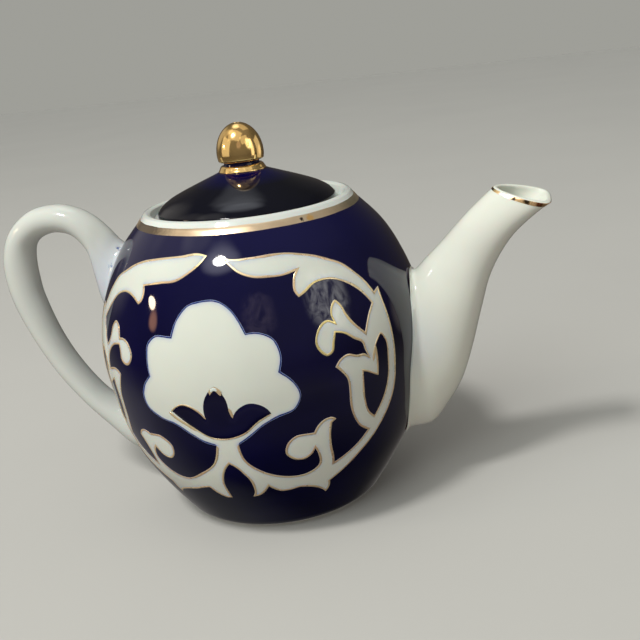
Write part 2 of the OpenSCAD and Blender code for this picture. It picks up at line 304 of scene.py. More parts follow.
def skin(rings, loop=False):
    """Closed skin over a row of rings; loop joins the last ring to the first instead of capping the ends."""
    n, m = len(rings[0]), len(rings)
    verts = [p for ring in rings for p in ring]
    faces = []
    for i in range(m if loop else m - 1):
        a, b = i * n, (i + 1) % m * n
        faces += [(a + j, a + (j + 1) % n, b + (j + 1) % n, b + j) for j in range(n)]
    if not loop:
        faces += [tuple(range(n - 1, -1, -1)), tuple(range((m - 1) * n, m * n))]
    return verts, faces


def rounded(corners, bits=6):
    """Outline from corners (r, z, radius), each rounded to its radius."""
    out = []
    for i, (x, z, radius) in enumerate(corners):
        p = Vector((x, z))
        if not radius:
            out.append(p)
            continue
        before, after = Vector(corners[i - 1][:2]) - p, Vector(corners[(i + 1) % len(corners)][:2]) - p
        half = before.angle(after) / 2
        reach = min(radius / math.tan(half), before.length * 0.49, after.length * 0.49)
        a, b = p + before.normalized() * reach, p + after.normalized() * reach
        for k in range(bits + 1):
            t = k / bits
            out.append(a * (1 - t) ** 2 + p * 2 * t * (1 - t) + b * t * t)
    return out


def revolved(outline, sides=256):
    """Solid of revolution of a closed outline of (r, z), which may run along the axis."""
    verts, faces, rows = [], [], []
    turns = [math.tau * j / sides for j in range(sides)]
    for r, z in outline:
        if r < 1e-6:
            rows.append([len(verts)] * sides)
            verts.append((0, 0, z))
            continue
        rows.append(list(range(len(verts), len(verts) + sides)))
        verts += [(r * math.cos(a), r * math.sin(a), z) for a in turns]
    for a, b in zip(rows, rows[1:] + rows[:1]):
        for j in range(sides):
            k = (j + 1) % sides
            corners = list(dict.fromkeys((a[j], a[k], b[k], b[j])))
            if len(corners) > 2:
                faces.append(tuple(corners))
    return verts, faces


def on_body(az, z, lift):
    """Place over the body's surface at an azimuth in degrees and a height."""
    a, r = math.radians(az), body_r(z) + lift
    return r * math.cos(a), r * math.sin(a), z


def solid(name, shape, material, body, slot, nodes=(), sharp=60):
    """Piece of a closed shape, as skin and revolved give it, with every face turned outwards."""
    obj = piece(name, *shape, material, body, slot, nodes, sharp)
    mesh = bmesh.new()
    mesh.from_mesh(obj.data)
    bmesh.ops.recalc_face_normals(mesh, faces=mesh.faces)
    mesh.to_mesh(obj.data)
    mesh.free()
    return obj


# ---------------------------------------------------------------- the ornament's meshes

def inside(x, y, outline):
    hit = False
    for a, b in zip(outline, outline[1:] + outline[:1]):
        if (a.y > y) != (b.y > y) and x < a.x + (b.x - a.x) * (y - a.y) / (b.y - a.y):
            hit = not hit
    return hit


CELL = 4  # an outline's points are sorted into squares of this size, to find the near ones
ROW_SHARE = 0.866  # distance between the rows of a staggered grid, as a share of its pitch


def lattice(outline, pitch, margin):
    """Points of a staggered grid inside an outline, clear of its edge."""
    cells = {}
    for p in outline:
        cells.setdefault((int(p.x // CELL), int(p.y // CELL)), []).append(p)
    low = Vector((min(p.x for p in outline), min(p.y for p in outline)))
    high = Vector((max(p.x for p in outline), max(p.y for p in outline)))
    out = []
    around = [(i, j) for i in (-1, 0, 1) for j in (-1, 0, 1)]
    for row in range(int((high.y - low.y) / (pitch * ROW_SHARE)) + 1):
        y = low.y + (row + 0.5) * pitch * ROW_SHARE
        for col in range(int((high.x - low.x) / pitch) + 1):
            x = low.x + (col + 0.25 + 0.5 * (row % 2)) * pitch
            cell = (int(x // CELL), int(y // CELL))
            near = [p for i, j in around for p in cells.get((cell[0] + i, cell[1] + j), [])]
            if all((p.x - x) ** 2 + (p.y - y) ** 2 > margin ** 2 for p in near) and inside(x, y, outline):
                out.append(Vector((x, y)))
    return out


SWELL_REACH = 2.2  # from the edge of a swollen inlay to its full height


def inlay(name, outline, lift, material, slot, turn=0, pitch=1.8, depth=0.3, swell=0.0):
    """Thin closed slab on the body inside an outline; swell is how far its middle rises over its edge."""
    outline = [p for p, q in zip(outline, outline[1:] + outline[:1]) if (p - q).length > 1e-4]
    n = len(outline)
    flat = outline + lattice(outline, pitch, pitch * 0.55)
    points, _, tris, _, _, _ = delaunay_2d_cdt(flat, [(i, (i + 1) % n) for i in range(n)], [], 1, 1e-5)
    edges = dict.fromkeys((a, b) for t in tris for a, b in zip(t, t[1:] + t[:1]))
    count = len(points)
    gaps = [0 if i < n else min((p - q).length for q in outline) for i, p in enumerate(points)]
    rises = [swell * math.sqrt(1 - (1 - min(gap / SWELL_REACH, 1)) ** 2) for gap in gaps]
    top = [on_body(p.x + turn, p.y, lift + rise) for p, rise in zip(points, rises)]
    base = [on_body(p.x + turn, p.y, lift - depth) for p in points]
    faces = [tuple(t) for t in tris] + [tuple(count + i for i in t[::-1]) for t in tris]
    faces += [(b, a, a + count, b + count) for a, b in edges if (b, a) not in edges]
    obj = piece(name, top + base, faces, material, "pot", slot)
    edge = obj.data.attributes.new("from_edge", "FLOAT", "POINT")
    for i, gap in enumerate(gaps):
        edge.data[i].value = edge.data[i + count].value = gap
    return obj


# A gold line's section as (share of its width, share of its height)
LINE_SECTION = [(0, -0.2), (0.04, 0.25), (0.28, 0.85), (0.5, 1), (0.72, 0.85), (0.96, 0.25), (1, -0.2)]
LINE_HEIGHT = 0.09
# How a line's width wanders: waves per millimetre, and their share of the width
WANDER, TREMBLE = (0.16, 0.42), (0.9, 0.16)
LINE_END = 0.3  # an open line narrows to this share of its width
SHARPEST = 0.45  # limits how far a line widens at a sharp corner


def drawn_line(name, path, width, lift, material, closed=False, turn=0, side=0.5, seed=1, slot="gilding"):
    """Domed, hand-drawn line along a path on the body. side 0 keeps it left of the path, 1 right of it."""
    n = len(path)
    rings = []
    travelled = 0
    for i, p in enumerate(path):
        before = path[i - 1] if i or closed else p
        after = path[(i + 1) % n] if i < n - 1 or closed else p
        scale = Vector((math.radians(1) * body_r(p.y), math.sqrt(1 + body_slope(p.y) ** 2)))
        d0, d1 = (p - before) * scale, (after - p) * scale
        travelled += d0.length
        d0 = d0.normalized() if d0.length > 1e-6 else d1.normalized()
        d1 = d1.normalized() if d1.length > 1e-6 else d0
        mid = (d0 + d1).normalized() if (d0 + d1).length > 1e-3 else d0
        across = Vector((mid.y, -mid.x))
        stretch = 1 / max(across.dot(Vector((d0.y, -d0.x))), SHARPEST)
        wander = noise.noise(Vector((travelled * WANDER[0], seed * 7.3, 0)))
        tremble = noise.noise(Vector((travelled * TREMBLE[0], seed * 3.1, 5)))
        w = width * (1 + WANDER[1] * wander + TREMBLE[1] * tremble)
        if not closed and i in (0, n - 1):
            w *= LINE_END
        ring = []
        for t, h in LINE_SECTION:
            shift = across * ((t - 1 + side) * w * stretch)
            az, z = p.x + shift.x / scale.x + turn, p.y + shift.y / scale.y
            ring.append(on_body(az, z, lift + LINE_HEIGHT * h))
        rings.append(ring)
    solid(name, skin(rings, loop=closed), material, "pot", slot)


def ornament(turn, tag):
    """The whole cartouche on one side of the pot."""
    right_outer, left_outer = trace(RIGHT_OUTER), trace(LEFT_OUTER)[::-1]
    right_inner, left_inner = trace(RIGHT_INNER)[::-1], trace(LEFT_INNER)
    scroll = right_inner + right_outer[1:] + left_outer[1:] + left_inner[1:]
    boll = trace(BOLL)
    inlay("reserve_" + tag, scroll + boll[1:-1], RESERVE_LIFT, WHITE_RESERVE, "white_porcelain",
          turn, pitch=1.3)
    inlay("calyx_" + tag, trace(CALYX)[:-1], CALYX_LIFT, COBALT, "cobalt_glaze",
          turn, pitch=0.7, swell=CALYX_SWELL)
    drawn_line("boll_bleed_" + tag, boll, BLEED_WIDTH, 0, BLEED, turn=turn, side=1, seed=5,
               slot="cobalt_glaze")
    drawn_line("scroll_gold_" + tag, scroll, SCROLL_LINE, RESERVE_LIFT, GOLD_LINE, turn=turn, side=1,
               seed=3)
    for k, gap in enumerate((trace(OVAL_GAP)[:-1], mirrored(trace(OVAL_GAP)[:-1]))):
        side_tag = ("right_", "left_")[k] + tag
        inlay("scroll_gap_" + side_tag, gap, GAP_LIFT, COBALT, "cobalt_glaze", turn)
        drawn_line("gap_gold_" + side_tag, gap, GAP_LINE, LINE_LIFT, GOLD_LINE, closed=True, turn=turn,
                   seed=11 + k)
    for k, (path, width) in enumerate(CALYX_GOLD):
        drawn_line("calyx_gold_%d_%s" % (k, tag), through(path), width, LINE_LIFT, GOLD_LINE, turn=turn,
                   seed=20 + k)
    drawn_line("calyx_tip_" + tag, through(CALYX_TIP), TIP_WIDTH, TIP_LIFT, GOLD_LINE, turn=turn, seed=31)
    drawn_line("calyx_glint_" + tag, through(CALYX_GLINT), GLINT_WIDTH, TIP_LIFT + 0.05, WHITE, turn=turn,
               seed=32, slot="white_porcelain")


# ---------------------------------------------------------------- materials

class Nodes:
    """Short ways to build a node tree whose patterns all lie in one set of coordinates."""

    def __init__(self, tree, coordinates):
        self.tree = tree
        self.place = self.add("TexCoord").outputs[coordinates]

    def add(self, kind, **settings):
        node = self.tree.nodes.new("ShaderNode" + kind)
        for key, value in settings.items():
            setattr(node, key, value)
        return node

    def wire(self, source, node, socket):
        self.tree.links.new(source, node.inputs[socket])

    def feed(self, socket, value):
        """Sets a socket to a number or a colour, or wires another node's output to it."""
        if isinstance(value, tuple):
            socket.default_value = (*value, 1)
        elif isinstance(value, (int, float)):
            socket.default_value = value
        else:
            self.tree.links.new(value, socket)

    def noise(self, scale, detail=2.0, roughness=0.5, distortion=0.0):
        node = self.add("TexNoise")
        self.wire(self.place, node, "Vector")
        node.inputs["Scale"].default_value = scale
        node.inputs["Detail"].default_value = detail
        node.inputs["Roughness"].default_value = roughness
        node.inputs["Distortion"].default_value = distortion
        return node.outputs["Fac"]

    def span(self, source, low, high, to_low=0.0, to_high=1.0, easing="LINEAR"):
        """Maps the stretch between two values to another stretch."""
        node = self.add("MapRange", interpolation_type=easing)
        self.wire(source, node, "Value")
        for socket, value in zip(("From Min", "From Max", "To Min", "To Max"), (low, high, to_low, to_high)):
            node.inputs[socket].default_value = value
        return node.outputs["Result"]

    def clouds(self, scale, detail, low=0.0, high=1.0):
        """Noise stretched so that it uses the whole way between two values."""
        return self.span(self.noise(scale, detail), 0.3, 0.7, low, high)

    def blend(self, share, a, b, how="MIX"):
        """Mix of two colours."""
        node = self.add("Mix", data_type="RGBA", blend_type=how)
        for index, value in ((0, share), (6, a), (7, b)):
            self.feed(node.inputs[index], value)
        return node.outputs[2]

    def ramp(self, source, stops):
        """Colours or greys at places from 0 to 1."""
        node = self.add("ValToRGB")
        elements = node.color_ramp.elements
        while len(elements) < len(stops):
            elements.new(0.5)
        for element, (place, value) in zip(elements, stops):
            element.position = place
            element.color = (*value, 1) if isinstance(value, tuple) else (value, value, value, 1)
        self.wire(source, node, "Fac")
        return node.outputs["Color"]

    def math(self, operation, *values):
        node = self.add("Math", operation=operation)
        for socket, value in zip(node.inputs, values):
            self.feed(socket, value)
        return node.outputs[0]

    def vector_math(self, operation, vector):
        """Result of an operation on the place and a fixed vector."""
        node = self.add("VectorMath", operation=operation)
        self.wire(self.place, node, 0)
        node.inputs[1].default_value = vector
        return node.outputs["Value"]

    def height(self):
        split = self.add("SeparateXYZ")
        self.wire(self.place, split, "Vector")
        return split.outputs["Z"]


class Look(Nodes):
    """A procedural material on one Principled shader. Lengths in a look are in metres."""

    def __init__(self, name, **values):
        self.material = bpy.data.materials.new(name)
        self.material.use_nodes = True
        super().__init__(self.material.node_tree, "Object")
        self.shader = self.tree.nodes["Principled BSDF"]
        for socket, value in values.items():
            self.shader.inputs[socket.replace("_", " ")].default_value = value

    def to(self, socket, source):
        self.wire(source, self.shader, socket)

    def bump(self, height, distance, strength):
        node = self.add("Bump")
        node.inputs["Distance"].default_value = distance
        node.inputs["Strength"].default_value = strength
        self.wire(height, node, "Height")
        self.to("Normal", node.outputs[0])

    def specks(self, scale, size, share):
        """1 in scattered small dots, 0 elsewhere; share is the part of the cells that hold a dot."""
        cells = self.add("TexVoronoi")
        cells.inputs["Scale"].default_value = scale
        self.wire(self.place, cells, "Vector")
        pick = self.add("SeparateColor")
        self.wire(cells.outputs["Color"], pick, 0)
        small = self.math("LESS_THAN", cells.outputs["Distance"], size)
        rare = self.math("LESS_THAN", pick.outputs[0], share)
        return self.math("MULTIPLY", small, rare)

    def near(self, spot, inner, outer, ragged):
        """1 close to a spot given in millimetres, falling to 0 between two distances."""
        gap = self.vector_math("DISTANCE", [v * MM for v in spot])
        gap = self.math("ADD", gap, self.clouds(900, 3, -ragged * MM, ragged * MM))
        return self.span(gap, outer * MM, inner * MM)


SPECK_TINT, HALO_TINT, RUBBED_TINT = (0.42, 0.36, 0.30), (0.22, 0.30, 0.62), (0.10, 0.07, 0.06)
# How far from the edge of a white inlay the cobalt shows through, in millimetres, and how it fades out
HALO_REACH, HALO_FADE = 2.2, [(0, 0.1), (0.25, 0.6), (0.6, 0.9), (1, 1.0)]


def cobalt_look(name, deep, full, thin, thin_from, thin_to, gloss=0.5):
    """Cobalt under a clear glaze; between two heights in metres it gets thinner, and bluer."""
    look = Look(name, IOR=1.6, Specular_IOR_Level=gloss)
    cloudy = look.blend(look.clouds(38, 3), deep, full)
    thinner = look.span(look.height(), thin_from, thin_to, 0, 0.8)
    look.to("Base Color", look.blend(thinner, cloudy, thin))
    look.to("Roughness", look.clouds(220, 4, 0.025, 0.06))
    look.bump(look.noise(55, 1.5), 0.00022, 0.55)
    return look.material


def white_look(name, colour, shade, halo=False, stains_and_painted_reflection=()):
    """White under a clear glaze; halo tints it blue near the edge of an inlay; spots tint it: cobalt dots
    and a painted reflection of the cobalt body.
    """
    look = Look(name, IOR=1.52, Subsurface_Weight=0.12, Subsurface_Scale=0.0015)
    base = look.blend(look.clouds(30, 4), colour, shade)
    base = look.blend(look.specks(90, 0.035, 0.03 if halo else 0.1), base, SPECK_TINT)
    if halo:
        edge = look.add("Attribute", attribute_name="from_edge").outputs["Fac"]
        soft = look.math("ADD", edge, look.clouds(260, 2, -0.1, 0.25))
        share = look.ramp(look.span(soft, 0, HALO_REACH), HALO_FADE)
        base = look.blend(share, HALO_TINT, base)
    for spot, inner, outer, tint, ragged in stains_and_painted_reflection:
        base = look.blend(look.near(spot, inner, outer, ragged), base, tint)
    look.to("Base Color", base)
    look.to("Roughness", look.clouds(180, 4, 0.05, 0.11))
    look.bump(look.noise(60, 2), 0.0002, 0.5)
    return look.material


def bare_look():
    look = Look("bare_porcelain_look")
    base = look.blend(look.clouds(400, 6), (0.72, 0.69, 0.62), (0.60, 0.56, 0.48))
    look.to("Base Color", look.blend(look.specks(500, 0.15, 0.18), base, (0.28, 0.24, 0.20)))
    look.to("Roughness", look.clouds(900, 5, 0.55, 0.8))
    look.bump(look.noise(2500, 4), 0.00006, 0.8)
    return look.material


def gold_look(name, bright, dull, rough, metal, worn=0.0, marks_and_painted_light=()):
    """Burnished gold film; worn is the share of it that has rubbed thin; spots tint it: rubbed or stained
    spots, painted highlights and painted shade.
    """
    look = Look(name, Metallic=metal)
    colour = look.blend(look.span(look.noise(90, 3), 0.35, 0.65), bright, dull)
    if worn:
        rubbed = look.span(look.noise(240, 6, 0.7), 0.70 - worn, 0.74 - worn)
        colour = look.blend(rubbed, colour, RUBBED_TINT)
        look.to("Metallic", look.span(rubbed, 0, 1, metal, 0.2))
    for spot, inner, outer, tint, ragged in marks_and_painted_light:
        colour = look.blend(look.near(spot, inner, outer, ragged), colour, tint)
    look.to("Base Color", colour)
    look.to("Roughness", look.clouds(300, 2, *rough))
    look.bump(look.noise(150, 2), 0.00002, 0.4)
    return look.material


# Spots of colour, as (spot in millimetres, inner and outer reach, colour, raggedness): on the white, cobalt
# dots and a painted reflection of the cobalt body near the roots; on the gold, rubbed or stained spots,
# painted highlights and painted shade
HANDLE_STAINS_AND_PAINTED_REFLECTION = [
    # bluish grey over the handle's upper root: painted reflection of the cobalt body
    ((-52, 0, 84), 4, 20, (0.55, 0.60, 0.72), 1),
    ((-50.2, -4.2, 98), 0.4, 1.4, (0.10, 0.14, 0.30), 0.8),
    ((-52.6, -7.2, 92), 0.2, 1.1, (0.16, 0.22, 0.40), 0.8),
]
# bluish grey by the spout's root: painted reflection of the cobalt body
SPOUT_PAINTED_REFLECTION = [((56, -12, 60), 3, 15, (0.69, 0.73, 0.72), 1)]
BAND_MARKS_AND_PAINTED_SHADE = [
    ((28.6, -26.9, 108.4), 0.8, 1.7, (1.0, 0.62, 0.22), 0.3),
    ((26.3, -29, 108.6), 0.2, 0.8, (0.05, 0.03, 0.02), 0.5),
    # these two darken the band's ends: painted shade
    ((-29, -26, 108.6), 7, 18, (0.20, 0.15, 0.10), 1.5),
    ((38, -4, 108.6), 4, 18, (0.40, 0.34, 0.22), 1),
]
LIP_MARKS_AND_PAINTED_GLINT = [
    # a spot of the lip line rubbed bare, painted brighter than the porcelain as a highlight
    ((89.6, -5.3, 106.8), 1.5, 2.1, (1.0, 1.0, 0.94), 0.2),
    ((92.8, -6.9, 105.7), 0.4, 1.1, (0.03, 0.02, 0.01), 0.3),
    ((96.9, -7.9, 104.5), 0.5, 1.4, (0.05, 0.03, 0.01), 0.3),
    ((101, -7.9, 103.3), 0.8, 1.8, (0.25, 0.08, 0.03), 0.3),
    ((86, -1, 108), 0.8, 2.4, (0.10, 0.08, 0.05), 0.4),
]
LINE_PAINTED_HIGHLIGHTS = [
    # painted highlights: the gold lines turn bright yellow in these spots
    ((32.7, -46.7, 77), 7, 12, (1.0, 0.82, 0.34), 1),
    ((30, -42.6, 91), 3, 6, (1.0, 0.82, 0.36), 1),
    ((-1, -45, 101.5), 3, 7, (1.0, 0.83, 0.38), 1),
]

COBALT = cobalt_look("cobalt_look", (0.0008, 0.0007, 0.0140), (0.0012, 0.0009, 0.0290),
                     (0.0014, 0.0010, 0.0400), 0.070, 0.108)
COBALT_LID = cobalt_look("cobalt_lid_look", (0.0012, 0.0014, 0.0040), (0.0014, 0.0015, 0.0070),
                         (0.0016, 0.0012, 0.0480), 0.118, 0.1215, gloss=0.33)
BLEED = cobalt_look("cobalt_bleed_look", (0.008, 0.020, 0.130), (0.012, 0.030, 0.170),
                    (0.010, 0.025, 0.150), 0.070, 0.108, gloss=0.2)
WHITE = white_look("white_porcelain_look", (0.73, 0.78, 0.73), (0.67, 0.71, 0.68))
WHITE_HANDLE = white_look("white_handle_look", (0.65, 0.68, 0.64), (0.59, 0.62, 0.59), stains_and_painted_reflection=HANDLE_STAINS_AND_PAINTED_REFLECTION)
WHITE_SPOUT = white_look("white_spout_look", (0.75, 0.78, 0.70), (0.69, 0.71, 0.65), stains_and_painted_reflection=SPOUT_PAINTED_REFLECTION)
WHITE_RESERVE = white_look("white_reserve_look", (0.71, 0.73, 0.66), (0.66, 0.68, 0.62), halo=True)
BARE = bare_look()
GOLD = gold_look("gold_look", (1.0, 0.71, 0.29), (0.97, 0.62, 0.22), (0.08, 0.15), 0.95)
GOLD_LINE = gold_look("gold_line_look", (1.0, 0.83, 0.50), (0.88, 0.62, 0.38), (0.22, 0.42), 0.6, 0.06,
                      LINE_PAINTED_HIGHLIGHTS)
GOLD_BAND = gold_look("gold_band_look", (0.95, 0.75, 0.50), (0.84, 0.63, 0.40), (0.30, 0.40), 0.75,
                      marks_and_painted_light=BAND_MARKS_AND_PAINTED_SHADE)
GOLD_LIP = gold_look("gold_lip_look", (1.0, 0.74, 0.36), (0.80, 0.50, 0.26), (0.2, 0.35), 0.7,
                     marks_and_painted_light=LIP_MARKS_AND_PAINTED_GLINT)


# ---------------------------------------------------------------- body

def drill(obj, cutter):
    """Cuts the cutter's shape out of an object."""
    tool = obj.modifiers.new("drill", "BOOLEAN")
    tool.operation, tool.solver, tool.object = "DIFFERENCE", "EXACT", cutter
    depsgraph = bpy.context.evaluated_depsgraph_get()
    mesh = bpy.data.meshes.new_from_object(obj.evaluated_get(depsgraph))
    obj.modifiers.clear()
    obj.data = mesh
    smooth(mesh, 35)


def strainer_cutter():
    cutter = bmesh.new()
    for row in range(-2, 3):
        for half_col in range(-2, 3):
            if abs(row) + abs(half_col) <= 2 and (row + half_col) % 2 == 0:
                spot = Vector((STRAINER_X, half_col / 2 * STRAINER_PITCH * STRAINER_SPREAD,
                               STRAINER_Z + row * STRAINER_PITCH)) * MM
                place = Matrix.Translation(spot) @ Matrix.Rotation(math.radians(90), 4, "Y")
                bmesh.ops.create_cone(cutter, cap_ends=True, segments=32, radius1=STRAINER_R * MM,
                                      radius2=STRAINER_R * MM, depth=DRILL_LENGTH * MM, matrix=place)
    mesh = bpy.data.meshes.new("strainer_cutter")
    cutter.to_mesh(mesh)
    cutter.free()
    return placed("strainer_cutter", mesh)


def wall_line(low, high, inset, step=1.5):
    """Points of the body's outline from one height to another, inset from its outside."""
    n = max(2, round(abs(high - low) / step))
    return [Vector((body_r(z) - inset, z)) for z in (mix(low, high, k / n) for k in range(n + 1))]


def make_body():
    top = BODY[-1][1]
    start, seam = Vector((GLAZE_START_R, FOOT_H)), Vector(GLAZE_SEAM)
    glaze = [start] + [Vector(p) for p in GLAZE_EDGE] + wall_line(BODY[0][1], top, 0)
    glaze += wall_line(top, COAT_LOW, GLAZE_COAT) + [seam]
    inner = wall_line(FLOOR_Z + BOWL_H, top, BODY_WALL)
    lining = [Vector((0, FOOT_H)), start, seam] + wall_line(COAT_LOW, top, GLAZE_COAT) + inner[::-1]
    lining += [inner[0] - Vector(p) for p in BOWL_BEND]
    lining += [Vector((inner[0].x - BOWL_REACH, FLOOR_Z)), Vector((0, FLOOR_Z))]
    cutter = strainer_cutter()
    for name, outline, material, slot in (("body_glaze", glaze, COBALT, "cobalt_glaze"),
                                          ("body_lining", lining, WHITE, "white_porcelain")):
        drill(solid(name, revolved(outline), material, "pot", slot, ["body_shell"], sharp=35), cutter)
    bpy.data.objects.remove(cutter)


# ---------------------------------------------------------------- spout and handle

def oval(top, bottom, half_w, inset, sides, blunt=0.0):
    """One oval section of a spout or handle; blunt moves its widest place towards its bottom."""
    mid = (Vector(top) + Vector(bottom)) / 2
    half = (Vector(top) - Vector(bottom)) / 2
    out = []
    for j in range(sides):
        a = math.tau * j / sides
        spot = mid + half * (1 - inset / half.length) * (math.cos(a) - blunt * math.sin(a) ** 2)
        out.append(Vector((spot.x, (half_w - inset) * math.sin(a), spot.y)))
    return out


def section(sections, u):
    """Top, bottom and half width at a whole or broken place in a list of sections."""
    tops, bottoms = [Vector(s[0]) for s in sections], [Vector(s[1]) for s in sections]
    return along(tops, u), along(bottoms, u), along([s[2] for s in sections], u)


def seated(ring, amount, side):
    """Moves a ring towards the outside of the body; amount 1 lays it on the surface."""
    if amount <= 0:
        return ring
    out = []
    for p in ring:
        x = side * math.sqrt((body_r(p.z) - ROOT_SINK) ** 2 - p.y ** 2)
        out.append(p.lerp(Vector((x, p.y, p.z)), amount))
    return out


def fillet(ring, radius):
    """Spreads a ring where it comes close to the body, like the slip that lutes it on."""
    mid = sum(ring, Vector()) / len(ring)
    out = []
    for p in ring:
        gap = math.hypot(p.x, p.y) - body_r(p.z)
        reach = min(max(1 - gap / radius, 0), 1)
        spread = radius * (1 - math.sqrt(1 - reach ** 2))
        out.append(p + (p - mid).normalized() * spread)
    return out


def root_steps(last, both):
    """Places along a part, in sections, that are closer together where it meets the body."""
    near = [0.04 * k * k / 3 for k in range(9)]
    far = last - near[-1] if both else last
    count = last * 7
    middle = [mix(near[-1], far, k / count) for k in range(1, count + 1)]
    ends = [last - u for u in near[::-1]] if both else []
    return near + middle[:-1 if both else None] + ends


SPOUT_SIDES, HANDLE_SIDES = 96, 80
ROOT_SINK = 0.4  # how far the roots of spout and handle reach under the body's surface
LIP_WAY = Vector((0.35, 0, 0.8))  # out of the spout's mouth
LIP_RISE, LIP_STEPS = 0.6, 6
GOLD_COAT = 0.09  # thickness of gilding over the glaze
LIP_LINE = 0.17  # how far the gilding reaches down from the lip, in sections of the spout


def spout_ring(u, inset):
    last = len(SPOUT) - 1
    top, bottom, half_w = section(SPOUT, u)
    ring = oval(top, bottom, half_w, inset, SPOUT_SIDES, LIP_BLUNT * (u / last) ** 8)
    ring = seated(ring, max(1 - u, 0) ** 2, 1)
    lean = LIP_SKEW * (u / last) ** 4 / SPOUT[last][2]
    return [p + Vector((0, 0, lean * p.y)) for p in ring]


def make_spout():
    last = len(SPOUT) - 1
    steps = root_steps(last, both=False)
    wall = [mix(SPOUT_WALL, LIP_WALL, u / last) for u in steps]
    outer = [fillet(spout_ring(u, 0), FILLET) for u in steps]
    lip = []
    for k in range(1, LIP_STEPS):
        turn = math.pi * k / LIP_STEPS
        rise = LIP_WAY * LIP_RISE * math.sin(turn)
        lip.append([p + rise for p in spout_ring(last, LIP_WALL * (0.5 - 0.5 * math.cos(turn)))])
    inner = [spout_ring(u, w) for u, w in zip(steps, wall)][::-1]
    solid("spout_body", skin(outer + lip + inner, loop=True), WHITE_SPOUT, "pot", "white_porcelain",
          ["spout"], sharp=50)


def make_spout_gilding():
    """Hand-drawn line round the lip, over its outer edge."""
    last = len(SPOUT) - 1
    low_u = last - LIP_LINE
    rings = [spout_ring(mix(low_u, last, k / 5), -GOLD_COAT) for k in range(6)]
    over = [[p + LIP_WAY * 0.5 * math.sin(math.pi * k / 8) for p in
             spout_ring(last, LIP_WALL * 0.12 * k - GOLD_COAT)] for k in range(1, 4)]
    back = [spout_ring(last, 0.5), spout_ring(low_u, 0.3)]  # lies hidden in the wall
    solid("spout_gold", skin(rings + over + back, loop=True), GOLD_LIP, "pot", "gilding",
          ["spout_gilding"])


def make_handle():
    last = len(HANDLE) - 1
    rings = []
    for u in root_steps(last, both=True):
        top, bottom, half_w = section(HANDLE, u)
        near = min(u, last - u)
        ring = seated(oval(top, bottom, half_w, 0, HANDLE_SIDES), max(1 - near, 0) ** 2, -1)
        rings.append(fillet(ring, FILLET))
    solid("handle_body", skin(rings), WHITE_HANDLE, "pot", "white_porcelain", ["handle"])


# ---------------------------------------------------------------- mouth, foot and lid
# Each turned outline is a list of (radius, height, rounding).

RIM = [(34.4, 107.7, 0), (39.3, 107.7, 0), (38.1, 109.6, 0.8), (37, 111.1, 1), (35.7, 111.55, 1),
       (34.3, 111, 0.9), (33.7, 108.6, 0.7), (28.9, 108.6, 0.6), (28.3, 108, 0.4), (28.3, 105.5, 0.5),
       (28.9, 105, 0.4), (31, 105, 0), (33, 106, 0)]
FOOT = [(31, 0, 0.4), (34, 0, 0.5), (34.3, FOOT_H, 0), (30, FOOT_H, 0)]
# The gold band under the rim: heights of its edges, its radius at the rim's foot, how that shrinks upwards
BAND_LOW, BAND_HIGH, BAND_R, BAND_TAPER = 107.55, 109.75, 39.6, 0.79
BAND_SECTION = [(0, -0.2), (0.03, 0.05), (0.5, 0.09), (0.97, 0.05), (1, -0.2)]
BAND_SIDES = 360

VENT_R = 1.1
LID_EDGE = [(26, 108.75, 0), (31.8, 108.75, 0.4), (31.75, 110.9, 0.9), (29.8, 112.7, 0)]
LID_TOP = [(29.8, 112.7), (27, 114.4), (23.5, 116), (19, 117.8), (13.8, 119.8), (10.4, 121.1), (8.2, 122)]
LID_UNDER = [(VENT_R, 119.2), (8, 118.4), (13.8, 116.4), (19.6, 114), (24.4, 111), (25.2, 109.4)]
LID_SKIRT = [(25.2, 108.9, 0), (27.5, 108.9, 0), (27.5, 101.55, 0.9), (25.2, 101.55, 0.7)]
WAIST = [(VENT_R, 123.7, 0), (6.5, 123.7, 0), (6.2, 124.6, 0.5), (6.5, 125.5, 0), (VENT_R, 125.5, 0)]
COLLAR = [(VENT_R, 121.9, 0), (8.6, 121.9, 0.3), (8.1, 122.7, 0.9), (7.7, 123.5, 0.6), (7.2, 124, 0.4),
          (VENT_R, 124, 0)]
KNOB_LOW, KNOB_MID, KNOB_TOP = 125.3, 128.0, 138.5
KNOB_R = 8.3
KNOB_DROP = 9  # half height of the oval that the knob's lower part is cut from
KNOB_BASE = [(VENT_R, KNOB_LOW), (7.2, KNOB_LOW), (7.7, KNOB_LOW + 0.1)]
KNOB_VENT = [(VENT_R + 0.12, KNOB_TOP - 0.16), (VENT_R, KNOB_TOP - 0.5)]
KNOB_STEPS = 40


def turned(name, corners, material, body, slot, nodes):
    solid(name, revolved(rounded(corners)), material, body, slot, nodes, sharp=40)


def make_mouth():
    turned("mouth_rim", RIM, WHITE, "pot", "white_porcelain", ["mouth_collar"])
    rings = []
    for j in range(BAND_SIDES):
        a = math.tau * j / BAND_SIDES
        c, s = math.cos(a), math.sin(a)
        low = BAND_LOW + 0.12 * noise.noise(Vector((c * 4, s * 4, 1)))
        high = BAND_HIGH + 0.22 * noise.noise(Vector((c * 5, s * 5, 2)))
        ring = []
        for t, out in BAND_SECTION:
            z = mix(low, high, t)
            r = BAND_R - (z - BODY[-1][1]) * BAND_TAPER + out
            ring.append(Vector((r * c, r * s, z)))
        rings.append(ring)
    solid("mouth_gold", skin(rings, loop=True), GOLD_BAND, "pot", "gilding", ["mouth_gilding"])


def make_foot():
    turned("foot_stand", FOOT, BARE, "pot", "bare_porcelain", ["foot_ring"])


def make_lid():
    outline = rounded(LID_EDGE)[:-1] + through(LID_TOP, 1)
    outline += [Vector((VENT_R, LID_TOP[-1][1]))] + through(LID_UNDER, 1)
    solid("lid_cover", revolved(outline), COBALT_LID, "lid", "cobalt_glaze", ["lid_dome"], sharp=35)
    turned("lid_skirt", LID_SKIRT, WHITE, "lid", "white_porcelain", ["lid_flange"])


